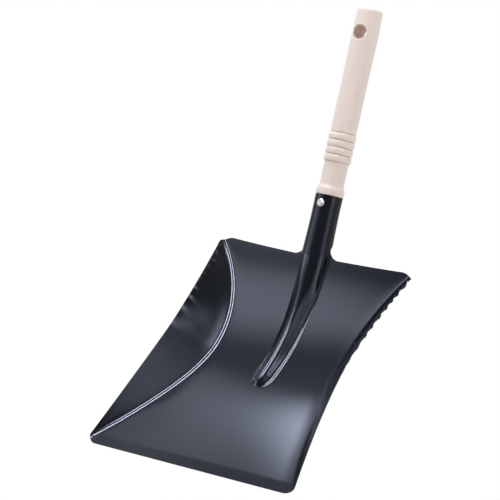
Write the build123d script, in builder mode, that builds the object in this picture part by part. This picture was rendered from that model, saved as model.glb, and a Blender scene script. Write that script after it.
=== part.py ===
from build123d import *
from math import asin, atan2, cos, hypot, pi, radians, sin, sqrt, tan
import os

# Hand scoop shovel: a pressed sheet-steel blade with a rolled socket, a turned
# wooden handle in the socket, and one rivet through both. Millimetres.
# X runs across the blade, Y from the front lip towards the handle, Z up.
# The origin is on the ground plane, under the middle of the overall length.

# --- driving dimensions: blade ---
front_width = 230.0      # across the front corners
back_width = 218.0       # across the back corners
rim_waist = 197.5        # across the rims, where the blade is narrowest
rim_waist_place = 0.56   # share of the rim's run, from the front, that lies before its waist
floor_waist = 135.0      # between the side folds, where the floor is narrowest
floor_waist_place = 0.57 # the same share for the folds, along the floor
sheet = 0.8              # sheet thickness
flat_length = 115.0      # flat part of the floor, from the front edge
back_radius = 190.0      # radius of the curved back
back_angle = 46.0        # slope of the back edge, and of the handle, in degrees
rim_bow = 6.5            # how far the rims bow over the straight line between corners
lip_width = 12.0         # bent strip along the front edge
lip_drop = 0.9           # how far the front edge sits below the floor
back_dip = 2.8           # how far the middle of the back edge lies in front of its corners
corner_radius = 11.0     # front and back corners of the sheet
end_gap = 1.5            # where the side folds start, in from the corners
wall_lean_at_ends = radians(40)
rim_flare_powers = (1.5, 1.8)     # how fast the rims widen from the waist: front, back
fold_flare_powers = (1.45, 2.1)   # the same for the folds

# --- driving dimensions: rib and socket ---
mouth_radius = 13.3      # outer radius of the socket at its mouth
root_radius = 14.2       # outer radius of the socket at the back edge
socket_length = 56.7     # from the back edge to the mouth
root_fillet = 9.0        # concave corners between back edge and socket
nose_distance = 119.0    # front end of the rib, measured along the floor
nose_length = 16.0       # rounding of the rib's front end
nose_half_width = 12.0
nose_height = 7.8
nose_blunt = 0.4         # width of the rib's very tip, as a share of its width behind the nose
rib_rise_power = 1.3     # how the rib's height grows from nose to socket

# --- driving dimensions: handle and rivet ---
tenon_length = 50.0      # inside the socket
neck_radius = 11.65
collar_radius = 13.55
collar_foot = 13.0       # radius of the collar where it meets the socket's mouth
collar_height = 9.5
collar_crest = 0.35      # the collar is fullest at this share of its height
bead_start = 32.4        # heights are measured from the socket's mouth
bead_pitch = 7.0
bead_count = 4
bead_radius = 13.3
groove_radius = 12.1
grip_radius = 12.5
grip_blend = 2.5         # from the last groove to the full grip
grip_even_height = 110.0 # the grip keeps its radius up to here
swell_radius = 12.8      # fullest part of the grip
swell_height = 155.0
shoulder_radius = 12.3   # where the rounded end starts
handle_length = 184.0
end_shoulder = 6.5       # length of the rounded end
end_overhang = 6.0       # how far the rounded end reaches past its centre, along Y
hole_radius = 7.0
hole_from_end = 26.0
fit_gap = 0.05           # radial gap between fitted pieces
rivet_depth = 8.0        # below the socket's mouth
rivet_shank_radius = 2.0
rivet_head_radius = 4.1
rivet_head_height = 1.5
rivet_head_taper = 12    # degrees

# --- derived lengths ---
slope = radians(back_angle)
blade_length = flat_length + back_radius * slope
back_y = flat_length + back_radius * sin(slope)
back_z = back_radius * (1 - cos(slope))
overall_length = back_y + (socket_length + handle_length) * cos(slope) + end_overhang
front_y = -overall_length / 2
floor_z = lip_drop + sheet
root_overlap = 3.0       # how far the socket reaches into the rib
web_inset = 0.1          # the webs lie this far inside the sheet's faces


def floor_point(s, x=0.0, height=0.0):
    """A point over the floor's top face, s along it from the front edge."""
    turn = max(0.0, s - flat_length) / back_radius
    y = min(s, flat_length) + back_radius * sin(turn) - height * sin(turn)
    z = back_radius * (1 - cos(turn)) + height * cos(turn)
    return Vector(x, front_y + y, floor_z + z)


def floor_plane(s):
    """The plane across the floor at s, with its own y pointing out of the top face."""
    turn = max(0.0, s - flat_length) / back_radius
    return Plane(origin=floor_point(s), x_dir=(1, 0, 0), z_dir=(0, -cos(turn), -sin(turn)))


def fold_half_width(s):
    """Half the floor's width at s: a waist, and a power curve to each end."""
    waist, half = floor_waist_place * blade_length, floor_waist / 2
    if s < waist:
        return half + (front_width / 2 - end_gap - half) * (1 - s / waist) ** fold_flare_powers[0]
    along = (s - waist) / (blade_length - waist)
    return half + (back_width / 2 - end_gap - half) * along ** fold_flare_powers[1]


def rim_point(t):
    """The right rim, from the front corner (t = 0) to the back corner (t = 1)."""
    waist, half = rim_waist_place, rim_waist / 2
    if t < waist:
        x = half + (front_width / 2 - half) * (1 - t / waist) ** rim_flare_powers[0]
    else:
        x = half + (back_width / 2 - half) * ((t - waist) / (1 - waist)) ** rim_flare_powers[1]
    bow = rim_bow * sin(pi * t)
    chord = hypot(back_y, back_z)
    y = t * back_y - bow * back_z / chord
    z = t * back_z + bow * back_y / chord
    return Vector(x, front_y + y, floor_z + z)


def wall_section(t, outward):
    """The space between the side walls, across the rim's point t, from below the blade to above it."""
    rim = rim_point(t)
    y = rim.Y - front_y
    s = y if y < flat_length else flat_length + back_radius * asin((y - flat_length) / back_radius)
    fold = floor_point(s, fold_half_width(s))
    lean = atan2(max(rim.Z - fold.Z, 0.01), rim.X - fold.X)
    lean = max(lean, wall_lean_at_ends * (1 - 4 * t * (1 - t)))
    shift = outward / sin(lean)

    def x_at(z):
        return fold.X + shift + (z - fold.Z) / tan(lean)

    with BuildSketch(Plane(origin=(0, rim.Y, 0), x_dir=(1, 0, 0), z_dir=(0, -1, 0))) as cut:
        with BuildLine():
            top, bottom = 2 * back_z, -back_z / 4
            Line((-x_at(top), top), (x_at(top), top))
            Line((x_at(top), top), (x_at(bottom), bottom))
            Line((x_at(bottom), bottom), (-x_at(bottom), bottom))
            Line((-x_at(bottom), bottom), (-x_at(top), top))
        make_face()
    return cut.sketch


def rib_size(s):
    """Half width and height of the rib at s. It grows from its nose to the full socket."""
    along = (s - nose_distance) / (blade_length - nose_distance)
    half = nose_half_width + (root_radius - nose_half_width) * along
    height = nose_height + (rib_root_height - nose_height) * along ** rib_rise_power
    into_nose = min(1.0, (s - nose_distance) / nose_length)
    rounding = sqrt(1 - (1 - into_nose) ** 2)
    return half * (nose_blunt + (1 - nose_blunt) * rounding), height * rounding


def rib_outline(s, inset, depth):
    """Half an ellipse over the floor at s, closed by a box that reaches depth below the top face."""
    half, height = rib_size(s)
    with BuildSketch(floor_plane(s)) as outline:
        with BuildLine():
            edge = half - inset
            EllipticalCenterArc((0, 0), edge, height - inset, start_angle=0, arc_size=180)
            Polyline((-edge, 0), (-edge, -depth), (edge, -depth), (edge, 0))
        make_face()
    return outline.sketch


# Distances along the floor where the rib is cut across: close together round its
# nose, then evenly spaced to the back edge.
rib_start = nose_distance + nose_length
rib_stations = [nose_distance + nose_length * share for share in (0.04, 0.16, 0.375, 0.69)]
rib_stations += [rib_start + k * (blade_length - rib_start) / 8 for k in range(9)]
rib_root_height = root_radius - 0.1
socket_root_radius = root_radius - sheet / 2

# The socket, the handle and the rivet share this plane: its x runs across the
# blade and its y along the handle, with the root on the back edge.
root = floor_point(blade_length)
along_handle = Vector(0, cos(slope), sin(slope))
out_of_handle = Vector(0, -sin(slope), cos(slope))
handle_plane = Plane(origin=root, x_dir=(1, 0, 0), z_dir=out_of_handle)
handle_axis = Axis(root, along_handle)
mouth = root + along_handle * socket_length
rivet_center = mouth - along_handle * rivet_depth
rivet_plane = Plane(origin=rivet_center, x_dir=(1, 0, 0), z_dir=out_of_handle)
hole_center = mouth + along_handle * (handle_length - hole_from_end)
hole_plane = Plane(origin=hole_center, x_dir=(1, 0, 0), z_dir=out_of_handle)


def corner_waste(half, inward):
    """What is cut off to round the sheet's corners at x = half and x = -half."""
    with BuildSketch() as waste:
        with Locations((half, 0)):
            Rectangle(2 * corner_radius, 2 * corner_radius)
        with Locations((half - corner_radius, inward * corner_radius)):
            Circle(corner_radius, mode=Mode.SUBTRACT)
        mirror(about=Plane.YZ)
    return waste.sketch


# --- the hollow of the scoop: all that lies over the floor and between the walls ---
wall_stations = [0.0, 0.06, 0.16, 0.3, 0.45, 0.6, 0.75, 0.87, 0.95, 1.0]
with BuildPart() as hollow:
    with BuildSketch(Plane.YZ):
        with BuildLine():
            lip = Line((front_y, floor_z - lip_drop), (front_y + lip_width, floor_z))
            flat = Line(lip @ 1, (front_y + flat_length, floor_z))
            back = JernArc(flat @ 1, tangent=(1, 0), radius=back_radius, arc_size=back_angle)
            Polyline(back @ 1, (front_y + back_y, 3 * back_z), (front_y, 3 * back_z), lip @ 0)
        make_face()
    extrude(amount=front_width, both=True)
    loft([wall_section(t, 0) for t in wall_stations], mode=Mode.INTERSECT)

with BuildPart() as pan:
    # side view: from the underside up to the rims
    with BuildSketch(Plane.YZ):
        with BuildLine():
            underside = floor_z - sheet
            lip = Line((front_y, underside - lip_drop), (front_y + lip_width, underside))
            flat = Line(lip @ 1, (front_y + flat_length, underside))
            back = JernArc(flat @ 1, tangent=(1, 0), radius=back_radius + sheet, arc_size=back_angle)
            rim_points = [rim_point(1 - k / 6) for k in range(7)]
            rim = Spline([(p.Y, p.Z) for p in rim_points])
            Line(back @ 1, rim @ 0)
            Polyline(rim @ 1, lip @ 0)
        make_face()
    extrude(amount=front_width, both=True)
    loft([wall_section(t, sheet) for t in wall_stations], mode=Mode.INTERSECT)
    add(hollow.part, mode=Mode.SUBTRACT)
    # the back edge curves in towards its middle
    with BuildSketch(handle_plane):
        with BuildLine():
            half_edge = back_width / 2
            ThreePointArc((-half_edge, 0), (0, -back_dip), (half_edge, 0))
            Polyline((half_edge, 0), (half_edge, back_dip), (-half_edge, back_dip), (-half_edge, 0))
        make_face()
    extrude(amount=corner_radius, both=True, mode=Mode.SUBTRACT)
    # rib: a half tube pressed up from the floor, from its nose to the socket
    loft([rib_outline(s, 0, sheet / 2) for s in rib_stations])
    inner_stations = rib_stations[1:] + [blade_length + 1]
    loft([rib_outline(s, sheet, 2 * sheet) for s in inner_stations], mode=Mode.SUBTRACT)
    # socket: a tapered tube on the handle's axis
    with BuildSketch(handle_plane):
        with BuildLine():
            Polyline(
                (socket_root_radius, -root_overlap),
                (socket_root_radius, 0),
                (mouth_radius, socket_length),
                (mouth_radius - sheet, socket_length),
                (socket_root_radius - sheet, 0),
                (socket_root_radius - sheet, -root_overlap),
                close=True,
            )
        make_face()
    revolve(axis=handle_axis)
    # concave webs between the back edge and the socket, set a little inside the sheet
    with BuildSketch(handle_plane.offset(-web_inset)):
        with BuildLine():
            inside = root_radius - sheet
            outside = root_radius + root_fillet
            low = -back_dip - root_overlap
            high = root_fillet - back_dip
            Polyline((outside, -back_dip), (outside, low), (inside, low))
            Polyline((inside, low), (inside, high), (root_radius, high))
            RadiusArc((root_radius, high), (outside, -back_dip), -root_fillet)
        make_face()
        mirror(about=Plane.YZ)
    extrude(amount=2 * web_inset - sheet)
    # rounded corners of the sheet, front and back
    front_waste = Pos(0, front_y) * corner_waste(front_width / 2, 1)
    extrude(front_waste, amount=corner_radius, both=True, mode=Mode.SUBTRACT)
    back_waste = handle_plane * corner_waste(back_width / 2, -1)
    extrude(back_waste, amount=corner_radius, both=True, mode=Mode.SUBTRACT)
    # rivet hole through both walls of the socket
    with BuildSketch(rivet_plane):
        Circle(rivet_shank_radius + fit_gap)
    extrude(amount=2 * mouth_radius, both=True, mode=Mode.SUBTRACT)
pan.part.label = "pan"
pan.part.color = Color(0.05, 0.055, 0.065)

with BuildPart() as handle:
    with BuildSketch(handle_plane):
        with BuildLine():
            fitted = mouth_radius - sheet - fit_gap
            base = Line((0, socket_length - tenon_length), (fitted, socket_length - tenon_length))
            tenon = Line(base @ 1, (fitted, socket_length + fit_gap))
            step = Line(tenon @ 1, (collar_foot, socket_length + fit_gap))
            collar = ThreePointArc(
                step @ 1,
                (collar_radius, socket_length + collar_crest * collar_height),
                (neck_radius, socket_length + collar_height),
            )
            neck = Line(collar @ 1, (neck_radius, socket_length + bead_start))
            top = socket_length + bead_start
            Line(neck @ 1, (groove_radius, top))
            for _ in range(bead_count):
                bottom, top = top, top + bead_pitch
                middle = (bottom + top) / 2
                ThreePointArc((groove_radius, bottom), (bead_radius, middle), (groove_radius, top))
            shoulder = socket_length + handle_length - end_shoulder
            step_up = Spline(
                (groove_radius, top),
                (grip_radius, top + grip_blend),
                tangents=[(1, 0), (0, 1)],
            )
            even = Line(step_up @ 1, (grip_radius, socket_length + grip_even_height))
            grip = Spline(
                even @ 1,
                (swell_radius, socket_length + swell_height),
                (shoulder_radius, shoulder),
                tangents=[(0, 1), (-0.08, 1)],
            )
            end = (0, socket_length + handle_length)
            crown = Spline(grip @ 1, end, tangents=[grip % 1, (-1, 0)])
            Line(crown @ 1, base @ 0)
        make_face()
    revolve(axis=handle_axis)
    with BuildSketch(hole_plane):
        Circle(hole_radius)
    extrude(amount=2 * swell_radius, both=True, mode=Mode.SUBTRACT)
    with BuildSketch(rivet_plane):
        Circle(rivet_shank_radius + fit_gap)
    extrude(amount=2 * mouth_radius, both=True, mode=Mode.SUBTRACT)
handle.part.label = "handle"
handle.part.color = Color(0.85, 0.74, 0.62)

socket_at_rivet = mouth_radius + (socket_root_radius - mouth_radius) * rivet_depth / socket_length
head_start = mouth_radius - 1
with BuildPart() as rivet:
    # two heads, started inside the socket and cut back to its outside
    for side in (1, -1):
        with BuildSketch(rivet_plane.offset(side * head_start)):
            Circle(rivet_head_radius)
        extrude(amount=side * (socket_at_rivet + rivet_head_height - head_start), taper=rivet_head_taper)
    with BuildSketch(Plane(origin=rivet_center, x_dir=(1, 0, 0), z_dir=along_handle)):
        Circle(socket_at_rivet + fit_gap)
    extrude(amount=2 * rivet_head_radius, both=True, mode=Mode.SUBTRACT)
    # shank
    with BuildSketch(rivet_plane):
        Circle(rivet_shank_radius)
    extrude(amount=socket_at_rivet + rivet_head_height / 2, both=True)
rivet.part.label = "rivet"
rivet.part.color = Color(0.8, 0.8, 0.78)

os.makedirs("parts", exist_ok=True)
export_step(pan.part, "parts/pan.step")
export_step(handle.part, "parts/handle.step")
export_step(rivet.part, "parts/rivet.step")
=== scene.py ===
import math

import bpy
import numpy as np
from mathutils import Matrix, Vector


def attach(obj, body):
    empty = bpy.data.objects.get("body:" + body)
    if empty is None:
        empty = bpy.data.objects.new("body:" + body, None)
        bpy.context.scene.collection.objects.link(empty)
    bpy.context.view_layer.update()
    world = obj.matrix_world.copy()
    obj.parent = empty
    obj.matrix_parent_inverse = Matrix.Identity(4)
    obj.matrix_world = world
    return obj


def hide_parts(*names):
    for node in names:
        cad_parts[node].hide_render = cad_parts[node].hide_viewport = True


# Hand scoop shovel of lacquered sheet steel with a turned beech handle and one rivet.
# Dimensions below are in millimetres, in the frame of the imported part: X across the
# blade, Y from the front lip towards the handle, Z up. MM turns them into metres. The
# studio's floor, lights and walls are given in metres.

MM = 0.001
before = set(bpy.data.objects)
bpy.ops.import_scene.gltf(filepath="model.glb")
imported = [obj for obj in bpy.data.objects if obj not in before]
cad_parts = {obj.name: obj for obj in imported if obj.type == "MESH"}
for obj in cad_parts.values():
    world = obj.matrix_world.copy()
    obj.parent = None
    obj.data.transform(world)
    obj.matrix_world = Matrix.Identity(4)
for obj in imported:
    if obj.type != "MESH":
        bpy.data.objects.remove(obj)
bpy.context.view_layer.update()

# --- blade; places along it are distances over its floor from the front edge ---
FRONT_WIDTH = 230.0
BACK_WIDTH = 218.0
RIM_WAIST = 197.5                    # between the rims where they are closest
RIM_WAIST_PLACE = 0.56               # as a share of the way from front to back
RIM_FLARE_POWERS = (1.5, 1.8)        # how late the rims open out: front, back
RIM_BOW = 6.5                        # how far they bulge up from a straight line
FLOOR_WAIST = 135.0                  # between the side folds where they are closest
FLOOR_WAIST_PLACE = 0.57
LEFT_FOLD_FLARE_POWERS = (1.52, 2.2)
RIGHT_FOLD_FLARE_POWERS = (1.28, 2.2)
FRONT_END_GAP = 1.5                  # the side folds start this far in from the corners
BACK_END_GAP = 2.5                   # and end this far in
SHEET = 0.8
FLAT_LENGTH = 115.0
BACK_RADIUS = 190.0
SLOPE = math.radians(46.0)           # of the back edge, and of the socket and the handle
CURVE_EASE = 60.0
LIP_WIDTH = 12.0
LIP_DROP = 0.9
LIP_BEND = 0.5
CORNER_RADIUS = 11.0
BACK_CORNER_RADIUS = 14.0
BACK_DIP = 2.8                       # the middle of the back edge is drawn in this far
BACK_DIP_REACH = 45.0                # over this much of the blade's length
SOCKET_DIP_END = 9.0                 # the socket follows the dip up to here
SOCKET_DIP_FADE = 20.0
LEAST_WALL = 0.02                    # the rim stays this far above the fold
# --- half the width over which a bend of the sheet is rounded ---
FOLD_ROUNDING = 3.6                  # of a side fold
FOOT_ROUNDING = 1.4                  # round the foot of the rib
ROOT_FOOT_ROUNDING = 1.5             # the same, at the root of the socket
CREST_ROUNDING = 1.6                 # along the top of the rib
FLOOR_ROUNDING_START = 8.0           # the fold's rounding takes over this far from the rib
FLOOR_ROUNDING_FADE = 12.0
WIDE_ROUNDING = 12.0                 # the sheet also bends a little this far round a fold
WIDE_SHARE = 0.18
ROW_ROUNDING = 1.3                   # of bends that run across the blade
ROW_ROUNDING_EDGE = 4.0              # it is less within this distance of the end edges
# --- marks of the press ---
WAVE_FROM = 100.0                    # the rims' scallops begin here
WAVE_FULL = 200.0                    # and have their full height here
WAVE_LENGTH = 13.0
LEFT_WAVE = 0.55                     # their height on the left rim
RIGHT_WAVE = 1.9
WAVE_END_GAP = 4.0                   # they have died out this far from the back edge
WAVE_END_FADE = 14.0
WAVE_DRIFTS = ((2.2, 17.0, 0.0), (1.4, 7.3, 1.0))    # shifts: amount, spacing, start
WAVE_FADE_POWER = 12                 # they die out quickly below the rim
DENT_HEIGHT = 0.07
DENT_START_FADE = 60.0
DENT_END_FADE = 30.0
DENT_SPACINGS = (9.1, 23.0)
DENT_LEANS = (2.6, -4.0)             # how far the dents lean from the fold to the rim
# --- rib and socket ---
MOUTH_RADIUS = 13.3
ROOT_RADIUS = 14.1
SOCKET_LENGTH = 56.7
SOCKET_HEIGHTS = (0, 6, 12, 22, 34, 46, 52, SOCKET_LENGTH)     # beyond the back edge
SOCKET_RADII = (ROOT_RADIUS, 13.95, 13.75, 13.35, 13.15, 13.1, 13.2, MOUTH_RADIUS)
ROOT_FILLET = 9.0
ROLL_START = 6.5                     # the tongue starts to close into a tube here
ROLL_LENGTH = 19.0
SEAM_HALF_ANGLE = math.radians(178.6)
TUBE_SOFT_END = 6.0                  # the tongue's bends are rounded up to here
TUBE_SOFT_FADE = 5.0
NOSE_DISTANCE = 119.0
NOSE_LENGTH = 16.0
NOSE_HALF_WIDTH = 12.0
NOSE_HEIGHT = 7.3
NOSE_BLUNT = 0.4
NOSE_OFFSET = 1.5                    # the nose lies this far to the right of the handle's axis
NOSE_OFFSET_END = 160.0              # the rib starts to come back to the axis here
NOSE_OFFSET_FADE = 90.0
OFFSET_HALF_WIDTH = 14.0             # the sheet beside the rib is shifted with it
OFFSET_SIDE_FADE = 40.0
RIB_RISE_POWER = 1.3
TUBE_FROM = 190.0                    # the rib turns from a bell into half a tube from here
# --- handle; heights are above the socket's mouth ---
HANDLE_LENGTH = 184.0
TENON_LENGTH = 34.0
TENON_CHAMFER = 0.6
FITTED_RADIUS = 12.45                # of the tenon, inside the socket
NECK_RADIUS = 11.65
NECK_START = 12.0
NECK_END_GAP = 0.7                   # below the beads
COLLAR_HEIGHTS = (0.05, 0.9, 3.2, 5.2, 6.9, 8.2, 9.1, 10.0)
COLLAR_RADII = (13.3, 13.47, 13.55, 13.5, 13.15, 12.4, 11.85, NECK_RADIUS)
BEAD_START = 32.4
BEAD_PITCH = 7.0
BEAD_COUNT = 4
BEAD_RADIUS = 13.35
BEAD_POWERS = (2.4, 0.62)            # how full a bead is: across its width, at its top
GROOVE_RADIUS = 11.9
GRIP_RADIUS = 12.5
GRIP_START_GAP = 6.0                 # above the beads
GRIP_EVEN_HEIGHT = 110.0
SWELL_RADIUS = 12.8
SWELL_HEIGHT = 155.0
SHOULDER_RADIUS = 12.3
END_SHOULDER = 6.5
END_POWER = 3.0                      # how square the rounded end is
END_REACH = 6.0                      # how much farther back it reaches than the axis does
HOLE_RADIUS = 7.0
HOLE_FROM_END = 26.0
HOLE_WINDOW = 10.5                   # half the side of the patch of handle around the hole
HOLE_CHAMFER = 0.5
# rows of the last groove: height above the beads, share of the way from the groove's
# radius to the grip's, and how much painted shade darkens the wood
LAST_GROOVE = ((0, 0, 1.0), (0.25, 0.45, 0.5), (0.6, 0.75, 0.1), (1.2, 0.95, 0), (2.2, 1, 0))
# rings inside the hole: depth under the surface, widening, and how much painted shade darkens the
# wood
BORE_RINGS = ((0.25, 0.12, 0.3), (0.9, 0.0, 0.5), (4.0, 0.0, 0.6))
MOUTH_SHADE = 0.35                    # painted shade on the wood where it meets the socket
# painted shade in the grooves between the beads, and less on the rows beside them
GROOVE_SHADE = 1.0
GROOVE_SIDE_SHADE = 0.3
# --- rivet ---
RIVET_DEPTH = 8.4                    # below the socket's mouth
RIVET_HEAD_HEIGHT = 1.4
RIVET_SKIRT = 1.5                    # from here down a head follows the round socket
# its outline from the dimple to the shank: radius, and height from the top of the dome
RIVET_PROFILE = ((0.3, -0.45), (0.9, -0.35), (1.5, -0.05), (2.3, -0.12), (3.1, -0.4),
                 (3.7, -0.85), (3.95, -1.2), (4.0, -RIVET_SKIRT), (4.0, -3.0), (2.0, -3.0))
# --- how finely the surfaces are divided ---
RIB_COLUMNS = 44                     # columns of the blade, from its middle to a rim
WEB_COLUMNS = 10
FLOOR_COLUMNS = 22
FOLD_COLUMNS = 14
WALL_COLUMNS = 20
LEAST_COLUMN = 0.05                  # width of a column where a corner cuts the rest off
TUBE_COLUMNS = RIB_COLUMNS + WEB_COLUMNS
TUBE_EVEN_HEIGHT = 20.0              # the socket's columns are evenly spaced from here
CORNER_ROWS = 13
RIB_CURVE = 40                       # points of half the rib's section
OUTER_CURVE = 400                    # points that are tried to find the sheet's end
OUTER_WIDTH = 30.0                   # inside the fold, where that search starts
ROW_SAMPLES = 3                      # sections to each side that a row is the mean of
BEAD_ROWS = 18
NECK_ROWS = 8
GRIP_ROWS = 26
END_ROWS = 20
HANDLE_COLUMNS = 96
HOLE_STEPS = 16                      # columns and rows of the hole's window
WINDOW_RINGS = (0.3, 0.6, 0.85, 1.0)     # places of the rings between window and hole
RIVET_COLUMNS = 32
TINY = 1e-6

BLADE_LENGTH = FLAT_LENGTH + BACK_RADIUS * SLOPE
BACK_Y = FLAT_LENGTH + BACK_RADIUS * math.sin(SLOPE)
BACK_Z = BACK_RADIUS * (1 - math.cos(SLOPE))
OVERALL = BACK_Y + (SOCKET_LENGTH + HANDLE_LENGTH) * math.cos(SLOPE) + END_REACH
FRONT_Y = -OVERALL / 2
FLOOR_Z = LIP_DROP + SHEET
HOLE_HEIGHT = HANDLE_LENGTH - HOLE_FROM_END


def smooth(t):
    """Goes gently from 0 to 1 as t does."""
    t = np.clip(t, 0.0, 1.0)
    return t * t * (3 - 2 * t)


def link_object(name, data):
    made = bpy.data.objects.new(name, data)
    bpy.context.scene.collection.objects.link(made)
    return made


def smooth_object(name, points, faces):
    """A smooth surface through points that are given from the front edge of the floor."""
    mesh = bpy.data.meshes.new(name)
    places = (points + [0, FRONT_Y, FLOOR_Z]) * MM
    mesh.from_pydata(places.tolist(), [], faces)
    mesh.validate()
    mesh.update()
    for face in mesh.polygons:
        face.use_smooth = True
    return link_object(name, mesh)


def from_handle_axis(points):
    """Turns (across, along the handle from the back edge, out of the sheet) into (x, y, z)."""
    along = np.array([0, math.cos(SLOPE), math.sin(SLOPE)])
    out = np.array([0, -math.sin(SLOPE), math.cos(SLOPE)])
    root = np.array([0, BACK_Y, BACK_Z])
    flat = points.reshape(-1, 3)
    moved = root + flat[:, :1] * [1, 0, 0] + flat[:, 1:2] * along + flat[:, 2:3] * out
    return moved.reshape(points.shape)


# ---------------------------------------------------------------- outline of the blade

def floor_table():
    """Slope and place of the floor's top face along its middle. The flat floor turns
    gradually into the round back, over CURVE_EASE to both sides of FLAT_LENGTH."""
    s = np.linspace(0, BLADE_LENGTH, 1401)
    step = s[1]
    bend = smooth((s - FLAT_LENGTH + CURVE_EASE) / (2 * CURVE_EASE)) / BACK_RADIUS
    slope = np.concatenate([[0], np.cumsum((bend[1:] + bend[:-1]) / 2) * step])
    middle = (slope[1:] + slope[:-1]) / 2
    y = np.concatenate([[0], np.cumsum(np.cos(middle) * step)])
    z = np.concatenate([[0], np.cumsum(np.sin(middle) * step)])
    # the back edge stays where it is
    share = s / BLADE_LENGTH
    y = y + (BACK_Y - y[-1]) * share
    z = z + (BACK_Z - z[-1]) * smooth(share)
    return s, slope, y, z


def rim_table():
    """Places along the right rim, from front to back."""
    t = np.linspace(0, 1, 801)
    half = RIM_WAIST / 2
    front = np.clip(1 - t / RIM_WAIST_PLACE, 0, 1) ** RIM_FLARE_POWERS[0]
    back = np.clip((t - RIM_WAIST_PLACE) / (1 - RIM_WAIST_PLACE), 0, 1) ** RIM_FLARE_POWERS[1]
    x = half + (FRONT_WIDTH / 2 - half) * front + (BACK_WIDTH / 2 - half) * back
    bow, chord = RIM_BOW * np.sin(np.pi * t), math.hypot(BACK_Y, BACK_Z)
    y = t * BACK_Y - bow * BACK_Z / chord
    z = t * BACK_Z + bow * BACK_Y / chord
    return x, y, z


TABLE_S, TABLE_SLOPE, TABLE_Y, TABLE_Z = floor_table()
RIM_X, RIM_Y, RIM_Z = rim_table()


def floor_point(s, x, height):
    """Points over the floor's top face, s along it from the front edge."""
    turn = np.interp(s, TABLE_S, TABLE_SLOPE)
    y = np.interp(s, TABLE_S, TABLE_Y) - height * np.sin(turn)
    z = np.interp(s, TABLE_S, TABLE_Z) + height * np.cos(turn)
    z = z - LIP_BEND * np.clip(1 - s / LIP_WIDTH, 0, None)
    x, y, z = np.broadcast_arrays(x, y, z)
    return np.stack([x, y, z], -1)


def rim_at(y):
    return np.array([np.interp(y, RIM_Y, RIM_X), y, np.interp(y, RIM_Y, RIM_Z)])


def fold_half_width(s, powers):
    """How far from the middle a side fold is at s."""
    waist, half = FLOOR_WAIST_PLACE * BLADE_LENGTH, FLOOR_WAIST / 2
    if s < waist:
        return half + (FRONT_WIDTH / 2 - FRONT_END_GAP - half) * (1 - s / waist) ** powers[0]
    along = min(1.0, (s - waist) / (BLADE_LENGTH - waist))
    return half + (BACK_WIDTH / 2 - BACK_END_GAP - half) * along ** powers[1]


def corner_limit(s):
    """How far out the sheet reaches at s, where its corners are rounded."""
    limit = math.inf
    ends = ((s, FRONT_WIDTH, CORNER_RADIUS), (BLADE_LENGTH - s, BACK_WIDTH, BACK_CORNER_RADIUS))
    for end, width, radius in ends:
        if end < radius:
            inner = math.sqrt(radius ** 2 - (radius - max(end, 0.0)) ** 2)
            limit = min(limit, width / 2 - radius + inner)
    return limit


def rib_size(s):
    """Half width and height of the rib at s."""
    along = max((s - NOSE_DISTANCE) / (BLADE_LENGTH - NOSE_DISTANCE), 0.0)
    half = NOSE_HALF_WIDTH + (ROOT_RADIUS - NOSE_HALF_WIDTH) * along
    height = NOSE_HEIGHT + (ROOT_RADIUS - NOSE_HEIGHT) * along ** RIB_RISE_POWER
    into = min(1.0, max(0.0, (s - NOSE_DISTANCE) / NOSE_LENGTH))
    rounding = math.sqrt(1 - (1 - into) ** 2)
    return half * (NOSE_BLUNT + (1 - NOSE_BLUNT) * rounding), height * rounding


def rib_curve(s, half, height, tube):
    """Half of the rib's section: bell shaped, and turning into half a tube as tube goes to 1."""
    angle = np.linspace(0, np.pi / 2, RIB_CURVE)
    across = (1 - tube) * 2 * angle / np.pi + tube * np.sin(angle)
    rise = (1 - tube) * (0.5 + 0.5 * np.cos(2 * angle)) + tube * np.cos(angle)
    return floor_point(s, half * across, height * rise)


# ---------------------------------------------------------------- surface of the blade

def run_lengths(points):
    """Distances along a polyline, from its start to each of its points."""
    return np.concatenate([[0], np.cumsum(np.linalg.norm(np.diff(points, axis=0), axis=1))])


def soften(points, at, reach):
    """A polyline's points at the distances given, each the mean over reach to both sides."""
    run = run_lengths(points)
    step = np.diff(run)[:, None]
    covered = np.cumsum(step * (points[1:] + points[:-1]) / 2, axis=0)
    area = np.concatenate([[[0, 0, 0]], covered])

    def point(d):
        return np.stack([np.interp(d, run, points[:, k]) for k in range(3)], -1)

    def integral(d):
        i = np.clip(np.searchsorted(run, d, side="right") - 1, 0, len(run) - 2)
        return area[i] + (d - run[i])[:, None] * (points[i] + point(d)) / 2

    reach = np.minimum(reach, np.minimum(at, run[-1] - at))
    wide = reach > TINY
    out = point(at)
    r = reach[wide]
    out[wide] = (integral(at[wide] + r) - integral(at[wide] - r)) / (2 * r)[:, None]
    return out


def past_middle(points):
    """The right half of a section, with a short stretch of the left half put before its
    middle. Returns it, the distances along it, and the distance of the middle."""
    left = points[1:RIB_CURVE][::-1] * [-1, 1, 1]
    run = np.concatenate([left, points])
    lengths = run_lengths(run)
    return run, lengths, lengths[len(left)]


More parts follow.
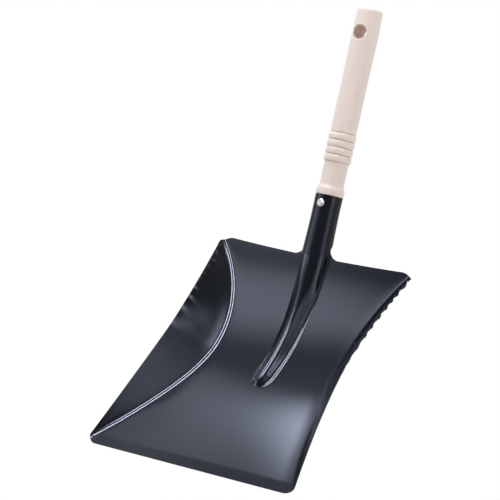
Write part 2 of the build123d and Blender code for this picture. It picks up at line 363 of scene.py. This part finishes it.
def section(s, powers):
    """Half of the blade's section at s: columns from the middle to the rim, how far up the
    wall each one is, and the way the wall goes."""
    half, height = rib_size(s)
    tube = float(smooth((s - TUBE_FROM) / (BLADE_LENGTH - TUBE_FROM)))
    rib = rib_curve(s, half, height, tube)
    base = floor_point(s, 0.0, 0.0)
    foot = np.array([half + 0.01, base[1], base[2]])
    fold = floor_point(s, fold_half_width(s, powers), 0.0)
    rim = rim_at(base[1])
    rim[2] = max(rim[2], fold[2] + LEAST_WALL)
    run, lengths, middle = past_middle(np.concatenate([rib, [foot, fold, rim]]))
    rib_run = lengths[-4] - middle
    fold_run = lengths[-2] - middle
    rim_run = lengths[-1] - middle

    # where the sheet ends
    limit = corner_limit(s)
    outer = np.linspace(fold_run - OUTER_WIDTH, rim_run, OUTER_CURVE)
    across = np.interp(outer + middle, lengths, run[:, 0])
    end = float(np.interp(limit, across, outer)) if limit < across[-1] else rim_run

    fold_end = min(fold_run + FOLD_ROUNDING, end - LEAST_COLUMN * WALL_COLUMNS)
    fold_start = min(fold_run - FOLD_ROUNDING, fold_end - LEAST_COLUMN * FOLD_COLUMNS)
    marks = (0.0, rib_run + ROOT_FOOT_ROUNDING, rib_run + ROOT_FILLET, fold_start, fold_end, end)
    counts = (RIB_COLUMNS, WEB_COLUMNS, FLOOR_COLUMNS, FOLD_COLUMNS, WALL_COLUMNS)
    at = [np.array([0.0])]
    for low, high, count in zip(marks[:-1], marks[1:], counts):
        at.append(low + (high - low) * np.arange(1, count + 1) / count)
    at = np.concatenate(at)

    foot_reach = FOOT_ROUNDING + (ROOT_FOOT_ROUNDING - FOOT_ROUNDING) * tube
    crest_reach = CREST_ROUNDING * (1 - tube) + foot_reach * tube
    reach = crest_reach + (foot_reach - crest_reach) * smooth(at / rib_run)
    on_floor = smooth((at - rib_run - FLOOR_ROUNDING_START) / FLOOR_ROUNDING_FADE)
    reach = reach + (FOLD_ROUNDING - reach) * on_floor
    wide_reach = reach + (WIDE_ROUNDING - reach) * on_floor
    tight = soften(run, at + middle, reach)
    wide = soften(run, at + middle, wide_reach)
    points = (1 - WIDE_SHARE) * tight + WIDE_SHARE * wide
    points[0, 0] = 0.0
    up_wall = np.clip((at - fold_run) / max(rim_run - fold_run, TINY), 0, 1)
    return points, up_wall, rim - fold


def rim_wave(s, full):
    """Scallops left by the press along the back half of the rims."""
    size = full * smooth((s - WAVE_FROM) / (WAVE_FULL - WAVE_FROM))
    size = size * smooth((BLADE_LENGTH - WAVE_END_GAP - s) / WAVE_END_FADE)
    shifted = s
    for amount, spacing, start in WAVE_DRIFTS:
        shifted = shifted + amount * np.sin(s / spacing + start)
    return size * (0.5 - np.abs(np.cos(np.pi * shifted / WAVE_LENGTH)) ** 3)


def wall_dents(s, up_wall):
    """Broad, shallow unevenness of the side walls."""
    size = DENT_HEIGHT * smooth((s - WAVE_FROM) / DENT_START_FADE)
    size = size * smooth((BLADE_LENGTH - s) / DENT_END_FADE)
    near, far = (s / spacing + lean * up_wall for spacing, lean in zip(DENT_SPACINGS, DENT_LEANS))
    return size * (np.sin(near) * np.cos(far)) * smooth(up_wall * 2) ** 2


def blade_row(s, powers, wave):
    """One row of the blade, averaged over a short stretch so that its bends are rounded."""
    to_edge = min(s, BLADE_LENGTH - s)
    reach = ROW_ROUNDING * min(1.0, to_edge / ROW_ROUNDING_EDGE)
    total = 0
    for k in range(-ROW_SAMPLES, ROW_SAMPLES + 1):
        near = s + reach * k / ROW_SAMPLES
        points, up_wall, wall = section(near, powers)
        outward = np.array([-wall[2], 0, wall[0]]) / max(math.hypot(wall[0], wall[2]), TINY)
        lift = rim_wave(near, wave) * up_wall ** WAVE_FADE_POWER + wall_dents(s, up_wall)
        total = total + points + lift[:, None] * outward
    return total / (2 * ROW_SAMPLES + 1)


def blade_stations():
    """Places of the blade's rows. They are closest together at its corners, behind its lip
    and round the rib's nose."""
    corner = 1 - np.cos(np.linspace(0, np.pi / 2, CORNER_ROWS))
    back_corner = BLADE_LENGTH - BACK_CORNER_RADIUS
    # start, end and spacing of each stretch
    stretches = ((LIP_WIDTH, 18.0, 0.75), (18.0, 112.0, 2.5), (112.0, 140.0, 0.6),
                 (140.0, back_corner - 1, 1.4))
    stations = list(CORNER_RADIUS * corner)
    for start, end, spacing in stretches:
        stations += list(np.arange(start, end, spacing))
    return stations + list(BLADE_LENGTH - BACK_CORNER_RADIUS * corner[::-1])


def tongue_stations():
    """Places of the tongue's rows beyond the back edge."""
    stations = list(np.arange(0.8, 12, 0.8)) + list(np.arange(12.6, 30, 1.2))
    return stations + list(np.linspace(31, SOCKET_LENGTH, 16))


def socket_radius(h):
    """Outer radius of the socket at h beyond the back edge."""
    return float(np.interp(h, SOCKET_HEIGHTS, SOCKET_RADII))


def tongue_row(h, first_share):
    """The right half of the tongue that is rolled into the socket, h beyond the back edge.
    Its columns start at first_share, the spacing of the blade's last row."""
    radius = socket_radius(h)
    roll = float(smooth((h - ROLL_START) / ROLL_LENGTH))
    wrap = np.pi / 2 + (SEAM_HALF_ANGLE - np.pi / 2) * roll
    angle = np.linspace(0, wrap, 2 * RIB_CURVE)
    points = np.stack([radius * np.sin(angle), np.full_like(angle, h), radius * np.cos(angle)], -1)
    if h < ROOT_FILLET:
        web = ROOT_FILLET - math.sqrt(ROOT_FILLET ** 2 - (ROOT_FILLET - h) ** 2)
        web = web + ROOT_FOOT_ROUNDING * (1 - h / ROOT_FILLET)
        points = np.concatenate([points, [[radius + web, h, 0]]])
    run, lengths, middle = past_middle(points)
    total = lengths[-1] - middle
    even = np.arange(TUBE_COLUMNS + 1) / TUBE_COLUMNS
    blend = float(smooth(h / TUBE_EVEN_HEIGHT))
    at = total * (first_share * (1 - blend) + even * blend)
    reach = np.minimum(ROOT_FOOT_ROUNDING, total - at)
    reach = reach * (1 - float(smooth((h - TUBE_SOFT_END) / TUBE_SOFT_FADE)))
    row = soften(run, at + middle, reach)
    row[0, 0] = 0.0
    return row


def shaped(row, s, height=0.0):
    """Draws the middle of the back edge in and shifts the rib's nose sideways. The height is
    a row's distance beyond the back edge."""
    out = row.copy()
    turn = min(max(0.0, s - FLAT_LENGTH) / BACK_RADIUS, SLOPE)
    near_edge = float(smooth((s - BLADE_LENGTH + BACK_DIP_REACH) / BACK_DIP_REACH))
    near_edge = near_edge * (1 - float(smooth((height - SOCKET_DIP_END) / SOCKET_DIP_FADE)))
    pull = BACK_DIP * near_edge * (1 - (2 * row[:, 0] / BACK_WIDTH) ** 2)
    out[:, 1] -= pull * math.cos(turn)
    out[:, 2] -= pull * math.sin(turn)
    aside = 1 - float(smooth((s - NOSE_OFFSET_END) / NOSE_OFFSET_FADE))
    beside = 1 - smooth((np.abs(row[:, 0]) - OFFSET_HALF_WIDTH) / OFFSET_SIDE_FADE)
    out[:, 0] += NOSE_OFFSET * aside * beside
    return out


def both_sides(left, right):
    """Whole rows from two halves that start in the middle. The left one is mirrored."""
    return np.concatenate([left[:, :0:-1] * [-1, 1, 1], right], axis=1)


def build_blade():
    """The sheet's top face: the rows of the blade, and of the tongue beyond its back edge."""
    stations = blade_stations()
    right = np.array([blade_row(s, RIGHT_FOLD_FLARE_POWERS, RIGHT_WAVE) for s in stations])
    left = np.array([blade_row(s, LEFT_FOLD_FLARE_POWERS, LEFT_WAVE) for s in stations])
    sheet = both_sides(left, right)
    sheet = np.array([shaped(row, s) for row, s in zip(sheet, stations)])

    # the tongue's first row is the middle of the blade's last one
    first = run_lengths(right[-1, :TUBE_COLUMNS + 1])
    heights = tongue_stations()
    half = from_handle_axis(np.array([tongue_row(h, first / first[-1]) for h in heights]))
    tongue = both_sides(half, half)
    tongue = np.array([shaped(row, BLADE_LENGTH, h) for row, h in zip(tongue, heights)])

    # numbers of the vertices, row by row
    rows = np.arange(sheet[..., 0].size).reshape(sheet.shape[:2])
    middle = right.shape[1] - 1
    root = rows[-1:, middle - TUBE_COLUMNS:middle + TUBE_COLUMNS + 1]
    beyond = rows.size + np.arange(tongue[..., 0].size).reshape(tongue.shape[:2])
    faces = []
    for block in (rows, np.concatenate([root, beyond])):
        corners = (block[:-1, :-1], block[:-1, 1:], block[1:, 1:], block[1:, :-1])
        faces += np.stack(corners, -1).reshape(-1, 4).tolist()
    points = np.concatenate([sheet.reshape(-1, 3), tongue.reshape(-1, 3)])
    return smooth_object("blade", points, faces)


# ---------------------------------------------------------------- handle and rivet

def grip_radius(h):
    """Radius of the handle above its beads, h above the socket's mouth."""
    if h < SWELL_HEIGHT:
        into = smooth((h - GRIP_EVEN_HEIGHT) / (SWELL_HEIGHT - GRIP_EVEN_HEIGHT))
        return GRIP_RADIUS + (SWELL_RADIUS - GRIP_RADIUS) * float(into)
    into = (h - SWELL_HEIGHT) / (HANDLE_LENGTH - END_SHOULDER - SWELL_HEIGHT)
    return SWELL_RADIUS + (SHOULDER_RADIUS - SWELL_RADIUS) * min(into, 1.0) ** 2


def bead_rows():
    """Height, radius and painted shade of the rows of the beads. The grooves get the most painted
    shade.
    """
    rows = []
    for bead in range(BEAD_COUNT):
        for k in range(BEAD_ROWS):
            off_top = abs(2 * k / BEAD_ROWS - 1)
            fullness = (1 - off_top ** BEAD_POWERS[0]) ** BEAD_POWERS[1]
            radius = GROOVE_RADIUS + (BEAD_RADIUS - GROOVE_RADIUS) * fullness
            beside_groove = k in (1, BEAD_ROWS - 1)
            painted_shade = GROOVE_SHADE if k == 0 else GROOVE_SIDE_SHADE if beside_groove else 0.0
            rows.append((BEAD_START + BEAD_PITCH * (bead + k / BEAD_ROWS), radius, painted_shade))
    beads_end = BEAD_START + BEAD_PITCH * BEAD_COUNT
    for rise, share, painted_shade in LAST_GROOVE:
        rows.append((beads_end + rise, GROOVE_RADIUS + (GRIP_RADIUS - GROOVE_RADIUS) * share, painted_shade))
    return rows


def handle_profile():
    """Height, radius and painted shade of each row of the handle, from the tenon up, and the
    number of the row that the hole's window starts with."""
    rows = [(-TENON_LENGTH, FITTED_RADIUS - TENON_CHAMFER, 0.0),
            (-TENON_LENGTH + TENON_CHAMFER, FITTED_RADIUS, 0.0),
            (0.0, FITTED_RADIUS, 0.0)]
    # the collar's first row gets painted shade where it meets the socket's mouth
    for k, (h, radius) in enumerate(zip(COLLAR_HEIGHTS, COLLAR_RADII)):
        rows.append((h, radius, MOUTH_SHADE if k == 0 else 0.0))
    for h in np.linspace(NECK_START, BEAD_START - NECK_END_GAP, NECK_ROWS).tolist():
        rows.append((h, NECK_RADIUS, 0.0))
    rows += bead_rows()
    grip_start = BEAD_START + BEAD_PITCH * BEAD_COUNT + GRIP_START_GAP
    window_start, window_end = HOLE_HEIGHT - HOLE_WINDOW, HOLE_HEIGHT + HOLE_WINDOW
    for h in np.linspace(grip_start, window_start, GRIP_ROWS).tolist():
        rows.append((h, grip_radius(h), 0.0))
    window = len(rows) - 1
    for h in np.linspace(window_start, window_end, HOLE_STEPS + 1).tolist()[1:]:
        rows.append((h, grip_radius(h), 0.0))
    # the end is rounded, and closed by a small flat
    shoulder = HANDLE_LENGTH - END_SHOULDER
    for t in np.sin(np.linspace(0, np.pi / 2, END_ROWS)).tolist()[:-1]:
        radius = SHOULDER_RADIUS * (1 - t ** END_POWER) ** (1 / END_POWER)
        rows.append((shoulder + END_SHOULDER * t, radius, 0.0))
    return rows, window


def handle_turns():
    """Angles of the handle's columns. They are closer together over the windows of the hole,
    one at the start of each half."""
    half = math.asin(HOLE_WINDOW / SWELL_RADIUS)
    window = np.linspace(-half, half, HOLE_STEPS + 1)[:-1]
    flank = np.linspace(half, np.pi - half, HANDLE_COLUMNS // 2 - HOLE_STEPS + 1)[:-1]
    return np.concatenate([window, flank, window + np.pi, flank + np.pi]).tolist()


def window_border(row, column):
    """Row and column numbers once round the window that starts at the ones given."""
    steps = range(HOLE_STEPS)
    end_row, end_column = row + HOLE_STEPS, column + HOLE_STEPS
    border = [(row, column + k) for k in steps]
    border += [(row + k, end_column) for k in steps]
    border += [(end_row, end_column - k) for k in steps]
    border += [(end_row - k, column) for k in steps]
    return border


def build_handle():
    """A turned surface with a hole through it. A point attribute holds the painted shade laid into
    its grooves, its hole and its foot at the socket.
    """
    profile, window = handle_profile()
    turns = handle_turns()
    half_round = HANDLE_COLUMNS // 2
    vertices, dark, faces = [], [], []

    def place(turn, radius, h, painted_shade):
        vertices.append((radius * math.sin(turn), SOCKET_LENGTH + h, radius * math.cos(turn)))
        dark.append(painted_shade)
        return len(vertices) - 1

    def join(ring, new):
        faces.extend((ring[k - 1], ring[k], new[k], new[k - 1]) for k in range(len(ring)))
        return new

    rows = [[place(turn, radius, h, painted_shade) for turn in turns] for h, radius, painted_shade in profile]
    for j in range(len(rows) - 1):
        beside_hole = window <= j < window + HOLE_STEPS
        for i in range(HANDLE_COLUMNS):
            if beside_hole and i % half_round < HOLE_STEPS:
                continue
            k = (i + 1) % HANDLE_COLUMNS
            faces.append((rows[j][i], rows[j][k], rows[j + 1][k], rows[j + 1][i]))
    faces.append(tuple(reversed(rows[0])))
    faces.append(tuple(rows[-1]))

    def half_bore(column, middle):
        """Rings from a window's border in to the hole and down it. Returns the last one and
        the angles of its points round the hole."""
        border = window_border(window, column)
        spots = [(SWELL_RADIUS * math.sin(turns[i] - middle), profile[j][0] - HOLE_HEIGHT)
                 for j, i in border]
        angles = [math.atan2(v, u) for u, v in spots]
        ring = [rows[j][i] for j, i in border]
        rim = HOLE_RADIUS + HOLE_CHAMFER
        for share in WINDOW_RINGS:
            new = []
            for (u, v), a in zip(spots, angles):
                x = u + (rim * math.cos(a) - u) * share
                y = v + (rim * math.sin(a) - v) * share
                radius = grip_radius(HOLE_HEIGHT + y)
                new.append(place(middle + math.asin(x / radius), radius, HOLE_HEIGHT + y, 0.0))
            ring = join(ring, new)
        # the rings down the bore get painted shade
        for depth, widening, painted_shade in BORE_RINGS:
            bore = HOLE_RADIUS + widening
            new = []
            for a in angles:
                x, y = bore * math.cos(a), bore * math.sin(a)
                radius = grip_radius(HOLE_HEIGHT + y)
                out = math.sqrt(radius * radius - x * x) - depth
                turn = middle + math.atan2(x, out)
                new.append(place(turn, math.hypot(x, out), HOLE_HEIGHT + y, painted_shade))
            ring = join(ring, new)
        return ring, angles

    # the two halves of the bore meet in the middle; the far one runs the other way round
    near, near_angles = half_bore(0, 0.0)
    far, far_angles = half_bore(half_round, np.pi)
    opposite = []
    for a in near_angles:
        gaps = [abs(math.remainder(b - (np.pi - a), 2 * np.pi)) for b in far_angles]
        opposite.append(far[gaps.index(min(gaps))])
    join(near, opposite)

    handle = smooth_object("turned_handle", from_handle_axis(np.array(vertices)), faces)
    handle.data.attributes.new("painted_shade", "FLOAT", "POINT").data.foreach_set("value", dark)
    return handle


def build_rivet():
    """Two domed heads, each with a small dimple, and their shank: one closed surface."""
    height = SOCKET_LENGTH - RIVET_DEPTH
    socket = socket_radius(height)
    vertices, rings = [], []
    for side, outline in ((1, RIVET_PROFILE), (-1, RIVET_PROFILE[::-1])):
        for radius, drop in outline:
            rings.append(range(len(vertices), len(vertices) + RIVET_COLUMNS))
            for k in range(RIVET_COLUMNS):
                x = radius * math.cos(2 * math.pi * k / RIVET_COLUMNS)
                y = radius * math.sin(2 * math.pi * k / RIVET_COLUMNS)
                sag = socket - math.sqrt(socket ** 2 - x * x)
                z = socket + RIVET_HEAD_HEIGHT + drop - sag * min(1.0, -drop / RIVET_SKIRT)
                vertices.append((x, height + y, side * z))
    faces = [tuple(rings[0]), tuple(reversed(rings[-1]))]
    for upper, lower in zip(rings[:-1], rings[1:]):
        faces += [(upper[k - 1], lower[k - 1], lower[k], upper[k]) for k in range(RIVET_COLUMNS)]
    return smooth_object("domed_rivet", from_handle_axis(np.array(vertices)), faces)


# ---------------------------------------------------------------- materials

LACQUER_BLACK = (0.002, 0.0025, 0.004)
WOOD_PALE = (0.86, 0.755, 0.69)
WOOD_ROSY = (0.84, 0.70, 0.635)
WOOD_GRAIN = (0.80, 0.64, 0.55)
WOOD_FLECK = (0.62, 0.46, 0.38)
# painted shade in the grooves, the hole and at the socket's mouth
PAINTED_SHADE_BROWN = (0.44, 0.20, 0.11)
# painted sheen: the lighter colour of the wood towards the handle's silhouette
PAINTED_SHEEN_WHITE = (0.86, 0.83, 0.82)
ZINC_GREY = (0.64, 0.60, 0.57)
LIGHT_TINT = (0.73, 0.82, 1.04)


def material(name):
    """An empty material and its node tree."""
    made = bpy.data.materials.new(name)
    made.use_nodes = True
    made.node_tree.nodes.clear()
    return made, made.node_tree


def node(tree, kind, inputs=None, **settings):
    """A new shader node with its settings and the values of its inputs."""
    made = tree.nodes.new("ShaderNode" + kind)
    for name, value in settings.items():
        setattr(made, name, value)
    for name, value in (inputs or {}).items():
        made.inputs[name].default_value = value
    return made


def lacquer():
    """Glossy black lacquer, very slightly uneven."""
    made, tree = material("lacquered_steel")
    link = tree.links.new
    gloss = {"Base Color": (*LACQUER_BLACK, 1), "Roughness": 0.13, "IOR": 1.5}
    bsdf = node(tree, "BsdfPrincipled", gloss)
    coords = node(tree, "TexCoord")
    noise = node(tree, "TexNoise", {"Scale": 350.0, "Detail": 2.0})
    bump = node(tree, "Bump", {"Strength": 0.03, "Distance": 0.0003})
    out = node(tree, "OutputMaterial")
    link(coords.outputs["Object"], noise.inputs["Vector"])
    link(noise.outputs["Fac"], bump.inputs["Height"])
    link(bump.outputs["Normal"], bsdf.inputs["Normal"])
    link(bsdf.outputs["BSDF"], out.inputs["Surface"])
    return made


def long_noise(tree, place, stretch, scale, detail):
    """Noise that is drawn out along the handle."""
    squeeze = node(tree, "Mapping", {"Scale": (1, stretch, 1)})
    noise = node(tree, "TexNoise", {"Scale": scale, "Detail": detail})
    tree.links.new(place, squeeze.inputs["Vector"])
    tree.links.new(squeeze.outputs["Vector"], noise.inputs["Vector"])
    return noise.outputs["Fac"]


def between(tree, value, low, high):
    """Goes from 0 to 1 as the value goes from low to high."""
    spread = node(tree, "MapRange", {"From Min": low, "From Max": high})
    tree.links.new(value, spread.inputs["Value"])
    return spread.outputs["Result"]


def times(tree, value, factor):
    product = node(tree, "Math", {1: factor}, operation="MULTIPLY")
    tree.links.new(value, product.inputs[0])
    return product.outputs[0]


def beech():
    """Pale turned beech: grain lines and short dark flecks that run along the handle, painted shade
    from the handle's point attribute, and a painted sheen that lightens it towards its silhouette.
    """
    made, tree = material("beech")
    link = tree.links.new
    coords = node(tree, "TexCoord")
    turn = node(tree, "Mapping", {"Rotation": (SLOPE, 0, 0)}, vector_type="TEXTURE")
    link(coords.outputs["Object"], turn.inputs["Vector"])
    place = turn.outputs["Vector"]
    grain = long_noise(tree, place, stretch=0.06, scale=260.0, detail=4.0)
    fleck = long_noise(tree, place, stretch=0.05, scale=1100.0, detail=3.0)
    patch = long_noise(tree, place, stretch=0.16, scale=60.0, detail=2.0)
    painted_shade = node(tree, "Attribute", attribute_name="painted_shade")
    # painted sheen, lighter where the surface turns away from the camera
    painted_sheen = node(tree, "LayerWeight", {"Blend": 0.35})
    # each layer is laid over the ones before it, the first one over pale wood
    layers = ((between(tree, patch, 0.35, 0.65), WOOD_ROSY, 1.0),
              (between(tree, grain, 0.35, 0.7), WOOD_GRAIN, 0.35),
              (between(tree, fleck, 0.58, 0.75), WOOD_FLECK, 0.3),
              # painted shade, from the handle's point attribute
              (painted_shade.outputs["Fac"], PAINTED_SHADE_BROWN, 0.85),
              # painted sheen towards the silhouette
              (painted_sheen.outputs["Facing"], PAINTED_SHEEN_WHITE, 0.6))
    colour = None
    for amount, over, share in layers:
        mix = node(tree, "MixRGB", {"Color1": (*WOOD_PALE, 1), "Color2": (*over, 1)})
        link(times(tree, amount, share), mix.inputs["Fac"])
        if colour:
            link(colour, mix.inputs["Color1"])
        colour = mix.outputs["Color"]
    bsdf = node(tree, "BsdfPrincipled", {"Roughness": 0.55, "Specular IOR Level": 0.25})
    bump = node(tree, "Bump", {"Strength": 0.15, "Distance": 0.0002})
    out = node(tree, "OutputMaterial")
    link(colour, bsdf.inputs["Base Color"])
    link(fleck, bump.inputs["Height"])
    link(bump.outputs["Normal"], bsdf.inputs["Normal"])
    link(bsdf.outputs["BSDF"], out.inputs["Surface"])
    return made


def zinc():
    """Dull zinc plate."""
    made, tree = material("zinc_steel")
    plate = {"Base Color": (*ZINC_GREY, 1), "Metallic": 0.35, "Roughness": 0.45}
    bsdf = node(tree, "BsdfPrincipled", plate)
    out = node(tree, "OutputMaterial")
    tree.links.new(bsdf.outputs["BSDF"], out.inputs["Surface"])
    return made


# ---------------------------------------------------------------- pieces

SHARP_ANGLE = math.radians(45)


def give_thickness(blade):
    """The sheet's thickness lies under its top face, and its cut edges are sharp."""
    thickness = blade.modifiers.new("thickness", "SOLIDIFY")
    thickness.thickness = SHEET * MM
    thickness.offset = -1
    sheet_edges = blade.modifiers.new("sheet_edges", "EDGE_SPLIT")
    sheet_edges.split_angle = SHARP_ANGLE


steel, wood, metal = lacquer(), beech(), zinc()
blade = build_blade()
give_thickness(blade)
pieces = ((blade, steel, "pan", "lacquered_steel"),
          (build_handle(), wood, "handle", "beech"),
          (build_rivet(), metal, "rivet", "zinc_steel"))
for piece, finish, cad_node, slot in pieces:
    piece.data.materials.append(finish)
    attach(piece, "root")
    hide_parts(cad_node)

# ---------------------------------------------------------------- floor and walls

FLOOR_SIDE = 12.0
FLOOR_WHITE = 1.0
FLOOR_REFLECTED = 0.45               # how bright the object sees the floor
ROOM_WHITE = 0.88
ROOM_REFLECTED = (0.26, 0.6)         # the same for the walls: elsewhere, at the bright side
ROOM_BRIGHT_SIDE = (-0.45, 0.45, 0.77)
ROOM_BRIGHT_EDGE = 0.3               # cosine of the angle from the bright side to its edge


def either_shader(tree, seen, reflected, out):
    """One shader that is seen, and another one that only reflections show."""
    path = node(tree, "LightPath")
    either = node(tree, "MixShader")
    tree.links.new(path.outputs["Is Glossy Ray"], either.inputs["Fac"])
    tree.links.new(seen.outputs[0], either.inputs[1])
    tree.links.new(reflected.outputs[0], either.inputs[2])
    tree.links.new(either.outputs["Shader"], out.inputs["Surface"])


def rectangle(name, width, height, finish):
    """A flat rectangle around the origin."""
    w, h = width / 2, height / 2
    mesh = bpy.data.meshes.new(name)
    mesh.from_pydata([(-w, -h, 0), (w, -h, 0), (w, h, 0), (-w, h, 0)], [], [(0, 1, 2, 3)])
    mesh.materials.append(finish)
    return link_object(name, mesh)


def add_floor():
    made, tree = material("studio_floor")
    seen = node(tree, "Emission", {"Strength": FLOOR_WHITE})
    reflected = node(tree, "Emission", {"Strength": FLOOR_REFLECTED})
    either_shader(tree, seen, reflected, node(tree, "OutputMaterial"))
    rectangle("studio_floor", FLOOR_SIDE, FLOOR_SIDE, made)


def add_walls():
    """White all round. Reflections show a dimmer, cooler room with one brighter side."""
    world = bpy.data.worlds.new("studio")
    bpy.context.scene.world = world
    world.use_nodes = True
    tree = world.node_tree
    tree.nodes.clear()
    seen = node(tree, "Background", {"Strength": ROOM_WHITE})
    reflected = node(tree, "Background", {"Color": (*LIGHT_TINT, 1)})
    coords = node(tree, "TexCoord")
    facing = node(tree, "VectorMath", {1: ROOM_BRIGHT_SIDE}, operation="DOT_PRODUCT")
    steps = {"From Min": ROOM_BRIGHT_EDGE, "From Max": 1.0,
             "To Min": ROOM_REFLECTED[0], "To Max": ROOM_REFLECTED[1]}
    brightness = node(tree, "MapRange", steps)
    tree.links.new(coords.outputs["Generated"], facing.inputs[0])
    tree.links.new(facing.outputs["Value"], brightness.inputs["Value"])
    tree.links.new(brightness.outputs["Result"], reflected.inputs["Strength"])
    either_shader(tree, seen, reflected, node(tree, "OutputWorld"))


add_floor()
add_walls()

# ---------------------------------------------------------------- lights

LIGHT_CENTRE = Vector((0.0, -0.09, 0.02))
STRIP_FEATHER = 0.3
LAMP_PLACE = Vector((-0.25, 0.75, 1.3))
LAMP_AIM = Vector((0.0, 0.05, 0.12))
LAMP_SIZE = 0.9
LAMP_ENERGY = 11.0


def fading_light(name, width, height, strength, feather):
    """Light that fades towards a panel's edges, over feather of its size. What is behind the
    panel shows through."""
    made, tree = material(name)
    link = tree.links.new
    coords = node(tree, "TexCoord")
    split = node(tree, "SeparateXYZ")
    product = node(tree, "Math", operation="MULTIPLY")
    link(coords.outputs["Object"], split.inputs["Vector"])
    for k, (axis, side) in enumerate((("X", width), ("Y", height))):
        from_middle = node(tree, "Math", operation="ABSOLUTE")
        edges = {"From Min": side / 2, "From Max": side / 2 * (1 - 2 * feather)}
        fade = node(tree, "MapRange", edges, interpolation_type="SMOOTHERSTEP")
        link(split.outputs[axis], from_middle.inputs[0])
        link(from_middle.outputs[0], fade.inputs["Value"])
        link(fade.outputs["Result"], product.inputs[k])
    emit = node(tree, "Emission", {"Color": (*LIGHT_TINT, 1)})
    clear = node(tree, "BsdfTransparent")
    both = node(tree, "AddShader")
    out = node(tree, "OutputMaterial")
    link(times(tree, product.outputs[0], strength), emit.inputs["Strength"])
    link(emit.outputs["Emission"], both.inputs[0])
    link(clear.outputs["BSDF"], both.inputs[1])
    link(both.outputs["Shader"], out.inputs["Surface"])
    return made


def softbox(name, azimuth, elevation, distance, width, height, strength, feather=0.5, spin=0.0,
            along=(0, 0, 1)):
    """A diffused panel that faces LIGHT_CENTRE and that only reflections show. Its height
    runs along the direction given, and spin turns it from there."""
    a, e = math.radians(azimuth), math.radians(elevation)
    away = Vector((math.cos(a) * math.cos(e), math.sin(a) * math.cos(e), math.sin(e)))
    tall = (Vector(along) - away * away.dot(Vector(along))).normalized()
    turn = Matrix((tall.cross(away), tall, away)).transposed().to_4x4()
    turn = turn @ Matrix.Rotation(math.radians(spin), 4, "Z")
    panel = rectangle(name, width, height, fading_light(name, width, height, strength, feather))
    panel.matrix_world = Matrix.Translation(LIGHT_CENTRE + away * distance) @ turn
    panel.visible_camera = False
    panel.visible_diffuse = False
    panel.visible_shadow = False


def strip(name, start, end, width, strength):
    """A long, narrow panel between two points given from LIGHT_CENTRE."""
    start, end = Vector(start), Vector(end)
    middle, run = (start + end) / 2, end - start
    azimuth = math.degrees(math.atan2(middle.y, middle.x))
    elevation = math.degrees(math.asin(middle.z / middle.length))
    softbox(name, azimuth, elevation, middle.length, width, run.length, strength,
            feather=STRIP_FEATHER, along=run)


def add_lamp():
    """An overhead lamp that shades the wood but has no reflection."""
    lamp_data = bpy.data.lights.new("overhead", "AREA")
    lamp_data.shape = "DISK"
    lamp_data.size = LAMP_SIZE
    lamp_data.energy = LAMP_ENERGY
    lamp = link_object("overhead", lamp_data)
    lamp.location = LAMP_PLACE
    lamp.rotation_euler = (LAMP_AIM - LAMP_PLACE).to_track_quat("-Z", "Y").to_euler()
    lamp.visible_glossy = False


# azimuth and elevation in degrees, distance, width, height, strength
softbox("back_left", 109, 25.5, 1.2, 1.45, 1.25, 15.0, spin=-24)
softbox("left_high", 184, 54.6, 0.6, 0.48, 0.60, 2.7, feather=0.48, spin=-37)
strip("strip_left", (-0.28, 0.80, 0.53), (0.02, -0.30, 1.02), 0.12, 41.0)
strip("strip_right", (0.33, 0.52, 0.72), (0.36, -0.05, 1.00), 0.14, 34.0)
softbox("flank", 30, 38.4, 1.2, 0.3, 0.27, 5.0)
softbox("fold_glow", 124, 40, 1.16, 0.34, 0.32, 9.0)
softbox("front_floor", 141, 38.5, 1.16, 0.44, 0.24, 0.9)
softbox("front_left", 226, 36, 0.9, 0.7, 0.5, 2.0)
softbox("left_low", 204, 14, 0.8, 0.9, 0.9, 4.2)
softbox("right_low", 5, 36, 1.1, 0.9, 0.8, 1.5)
softbox("right_side", -8, 8, 1.0, 1.0, 0.9, 1.9)
softbox("left_edge", 137, 18, 1.07, 0.5, 0.45, 6.0)
add_lamp()

# ---------------------------------------------------------------- camera

CAMERA_AZIMUTH = math.radians(41.132)
CAMERA_ELEVATION = math.radians(34.387)
CAMERA_ROLL = math.radians(-14.636)
CAMERA_DISTANCE = 2355.43
CAMERA_TARGET = Vector((26.49, FRONT_Y + 130.0, FLOOR_Z + 156.545))
CAMERA_VIEW = 447.3392               # width of what it sees at its target
CAMERA_CLIP = 50
SENSOR_WIDTH = 36.0


def add_camera():
    turn, rise = CAMERA_AZIMUTH, CAMERA_ELEVATION
    back = Vector((math.sin(turn) * math.cos(rise), -math.cos(turn) * math.cos(rise), math.sin(rise)))
    level = Vector((math.cos(turn), math.sin(turn), 0))
    upright = back.cross(level)
    right = math.cos(CAMERA_ROLL) * level + math.sin(CAMERA_ROLL) * upright
    up = -math.sin(CAMERA_ROLL) * level + math.cos(CAMERA_ROLL) * upright
    camera_data = bpy.data.cameras.new("camera")
    camera_data.sensor_width = SENSOR_WIDTH
    camera_data.lens = SENSOR_WIDTH * CAMERA_DISTANCE / CAMERA_VIEW
    camera_data.clip_end = CAMERA_CLIP
    camera = link_object("camera", camera_data)
    facing = Matrix((right, up, back)).transposed().to_4x4()
    place = (CAMERA_TARGET + back * CAMERA_DISTANCE) * MM
    camera.matrix_world = Matrix.Translation(place) @ facing
    bpy.context.scene.camera = camera


add_camera()
bpy.context.scene.view_settings.view_transform = "Standard"
